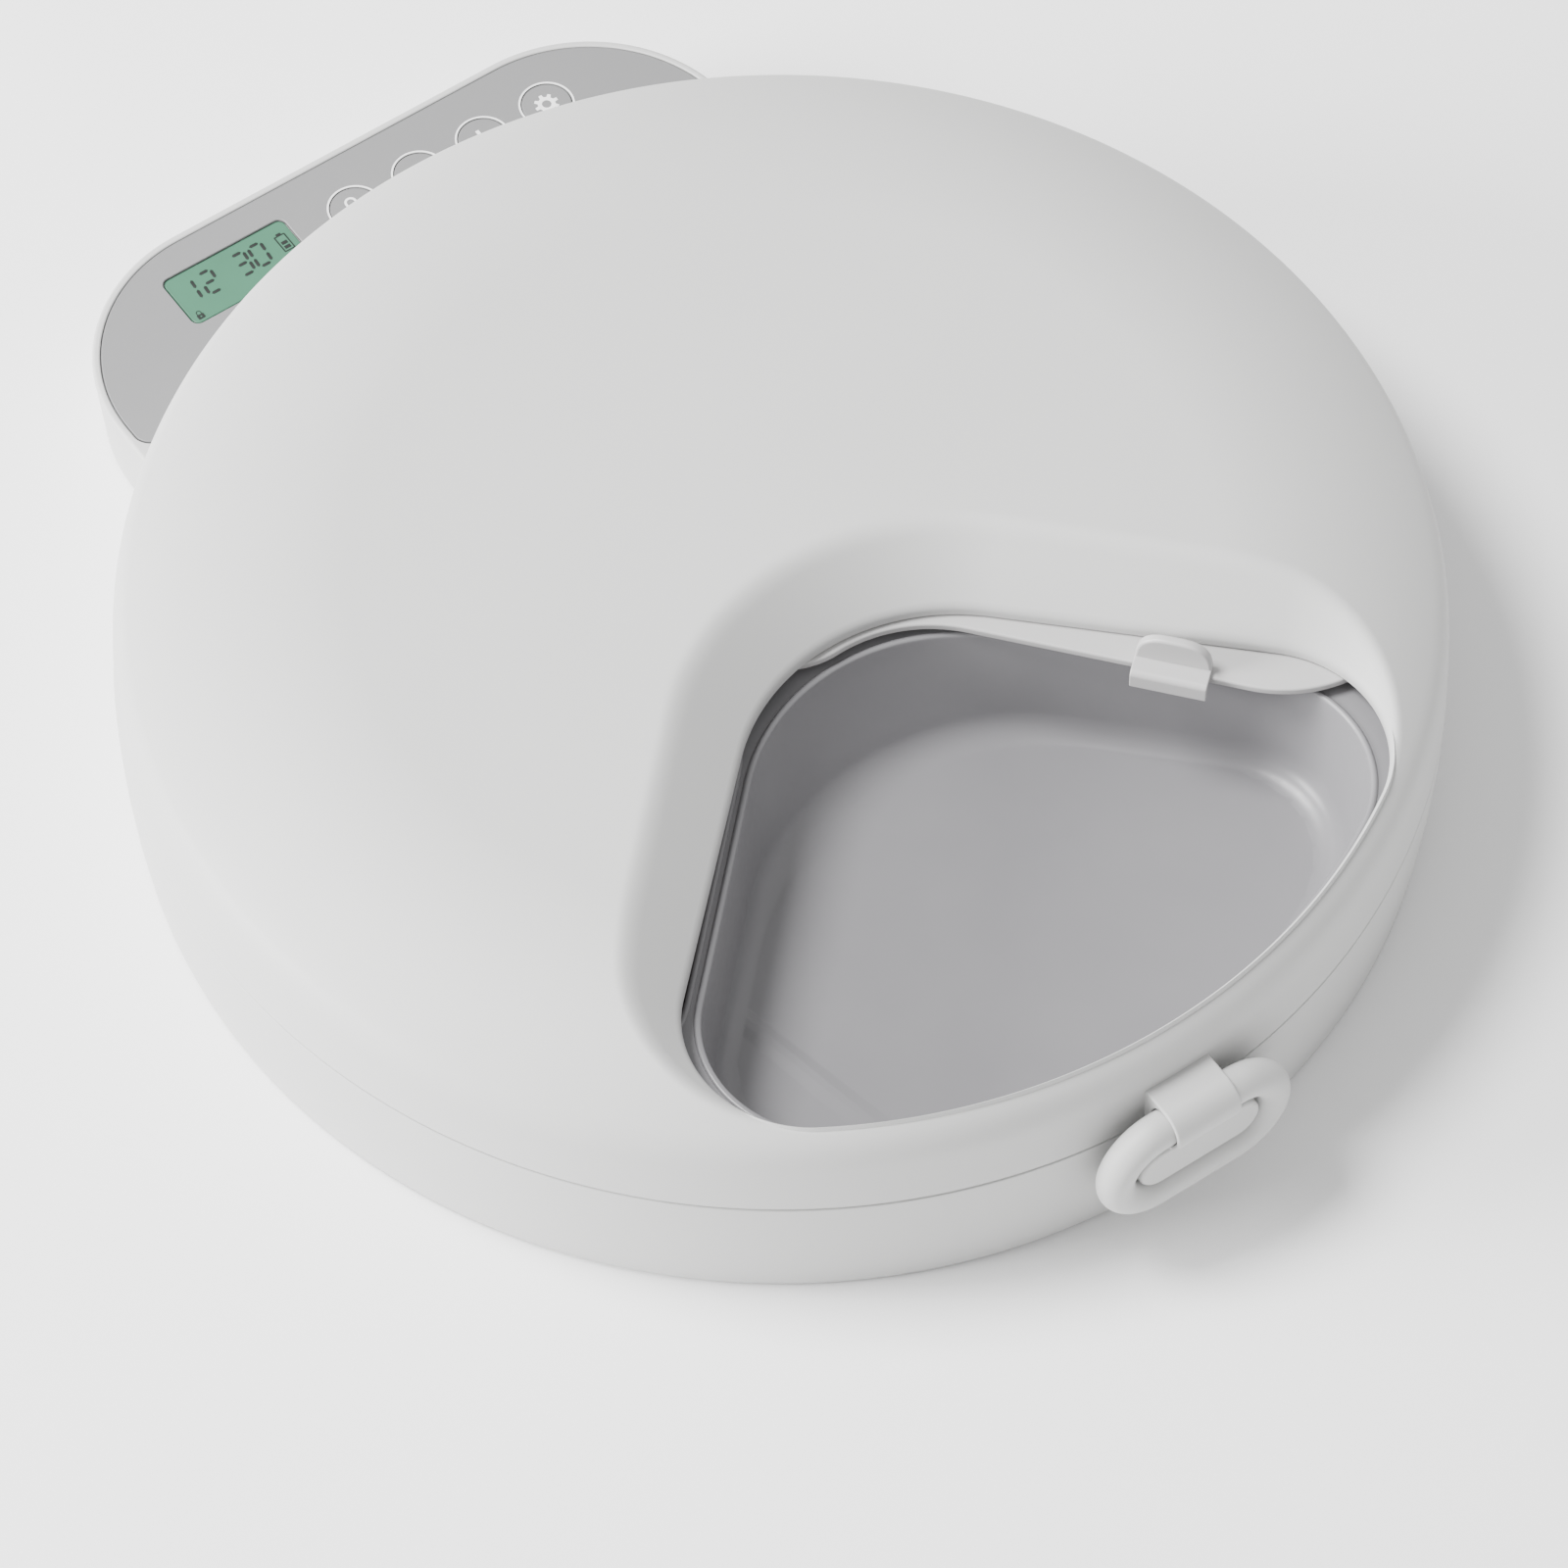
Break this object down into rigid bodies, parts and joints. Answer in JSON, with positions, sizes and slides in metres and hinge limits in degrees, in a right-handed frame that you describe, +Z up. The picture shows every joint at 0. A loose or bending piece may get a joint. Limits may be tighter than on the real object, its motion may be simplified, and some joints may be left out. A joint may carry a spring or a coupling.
{
  "type": "automatic pet feeder",
  "caption": "Round lidded pet feeder whose compartment tray turns under a food window, with a sliding shutter, swing latch, battery bay and rear control panel.",
  "frame": {"origin": "middle of the footprint's bounding box, on the floor", "axes": "+Z up, +Y towards the control panel, -Y towards the latch, +X to the right seen from the latch side"},
  "size_m": [0.302, 0.3484, 0.0724],
  "materials": {
    "white_plastic": "fine moulded satin",
    "grey_plastic": "smooth moulded",
    "panel_grey": "printed matte film",
    "display": "clear display window",
    "ice_plastic": "blow moulded",
    "foot_rubber": "moulded",
    "steel": "plated",
    "acetal": "moulded",
    "circuit_board": "lacquered",
    "dark_plastic": "moulded",
    "cell_sleeve": "shrink sleeve"
  },
  "bodies": {
    "base": {"base_shell": "white_plastic", "bottom_cover": "white_plastic", "foot_1": "foot_rubber", "foot_2": "foot_rubber", "foot_3": "foot_rubber", "foot_4": "foot_rubber", "cover_screw_1": "steel", "cover_screw_2": "steel", "cover_screw_3": "steel", "cover_screw_4": "steel", "panel_plate": "panel_grey", "display_module": "display", "control_board": "circuit_board", "switch_lock": "dark_plastic", "switch_minus": "dark_plastic", "switch_plus": "dark_plastic", "switch_settings": "dark_plastic", "gearbox_plate": "acetal", "drive_motor": "steel", "idler_axle": "steel", "battery_1": "cell_sleeve", "battery_2": "cell_sleeve", "battery_3": "cell_sleeve", "battery_4": "cell_sleeve", "battery_contact_front": "steel", "battery_contact_rear": "steel", "ice_pack_left": "ice_plastic", "ice_pack_cap_left": "ice_plastic", "ice_pack_right": "ice_plastic", "ice_pack_cap_right": "ice_plastic"},
    "lid": {"lid_shell": "white_plastic", "latch_bracket": "white_plastic", "pivot_washer": "steel", "pivot_screw": "steel"},
    "shutter": {"shutter_plate": "white_plastic", "shutter_tab": "white_plastic"},
    "latch": {"latch_ring": "white_plastic"},
    "tray": {"food_tray": "grey_plastic", "drive_spindle": "acetal", "output_gear": "acetal"},
    "idler": {"idler_gear": "acetal"},
    "pinion": {"motor_pinion": "acetal"},
    "battery_cover": {"battery_door": "white_plastic"},
    "lock_key": {"button_lock": "panel_grey"},
    "minus_key": {"button_minus": "panel_grey"},
    "plus_key": {"button_plus": "panel_grey"},
    "settings_key": {"button_settings": "panel_grey"}
  },
  "joints": [
    {"name": "lid_lift", "type": "slide", "parent": "base", "child": "lid", "axis": [0, 0, 1], "range_m": [0, 0.12]},
    {"name": "shutter_turn", "type": "hinge", "parent": "lid", "child": "shutter", "pos_m": [0, -0.01115, 0.055], "axis": [0, 0, -1], "range_deg": [0, 83]},
    {"name": "latch_swing", "type": "hinge", "parent": "lid", "child": "latch", "pos_m": [0, -0.16845, 0.042], "axis": [-1, 0, 0], "range_deg": [0, 110]},
    {"name": "tray_spin", "type": "hinge", "parent": "base", "child": "tray", "pos_m": [0, -0.01115, 0.04], "axis": [0, 0, 1], "continuous": true},
    {"name": "idler_spin", "type": "hinge", "parent": "base", "child": "idler", "pos_m": [0.0105, -0.01115, 0.036], "axis": [0, 0, 1], "continuous": true},
    {"name": "pinion_spin", "type": "hinge", "parent": "base", "child": "pinion", "pos_m": [0.00611, -0.00446, 0.035], "axis": [0, 0, 1], "continuous": true},
    {"name": "battery_door_swing", "type": "hinge", "parent": "base", "child": "battery_cover", "pos_m": [0, 0.07275, 0.0025], "axis": [-1, 0, 0], "range_deg": [0, 100]},
    {"name": "lock_press", "type": "slide", "parent": "base", "child": "lock_key", "axis": [0, 0, -1], "range_m": [0, 0.0007], "stiffness_N_per_m": 400, "springref_m": -0.0004},
    {"name": "minus_press", "type": "slide", "parent": "base", "child": "minus_key", "axis": [0, 0, -1], "range_m": [0, 0.0007], "stiffness_N_per_m": 400, "springref_m": -0.0004},
    {"name": "plus_press", "type": "slide", "parent": "base", "child": "plus_key", "axis": [0, 0, -1], "range_m": [0, 0.0007], "stiffness_N_per_m": 400, "springref_m": -0.0004},
    {"name": "settings_press", "type": "slide", "parent": "base", "child": "settings_key", "axis": [0, 0, -1], "range_m": [0, 0.0007], "stiffness_N_per_m": 400, "springref_m": -0.0004}
  ],
  "couplings": [
    {"joint": "idler_spin", "follows": "tray_spin", "ratio": -3.2},
    {"joint": "pinion_spin", "follows": "tray_spin", "ratio": 9.6}
  ]
}
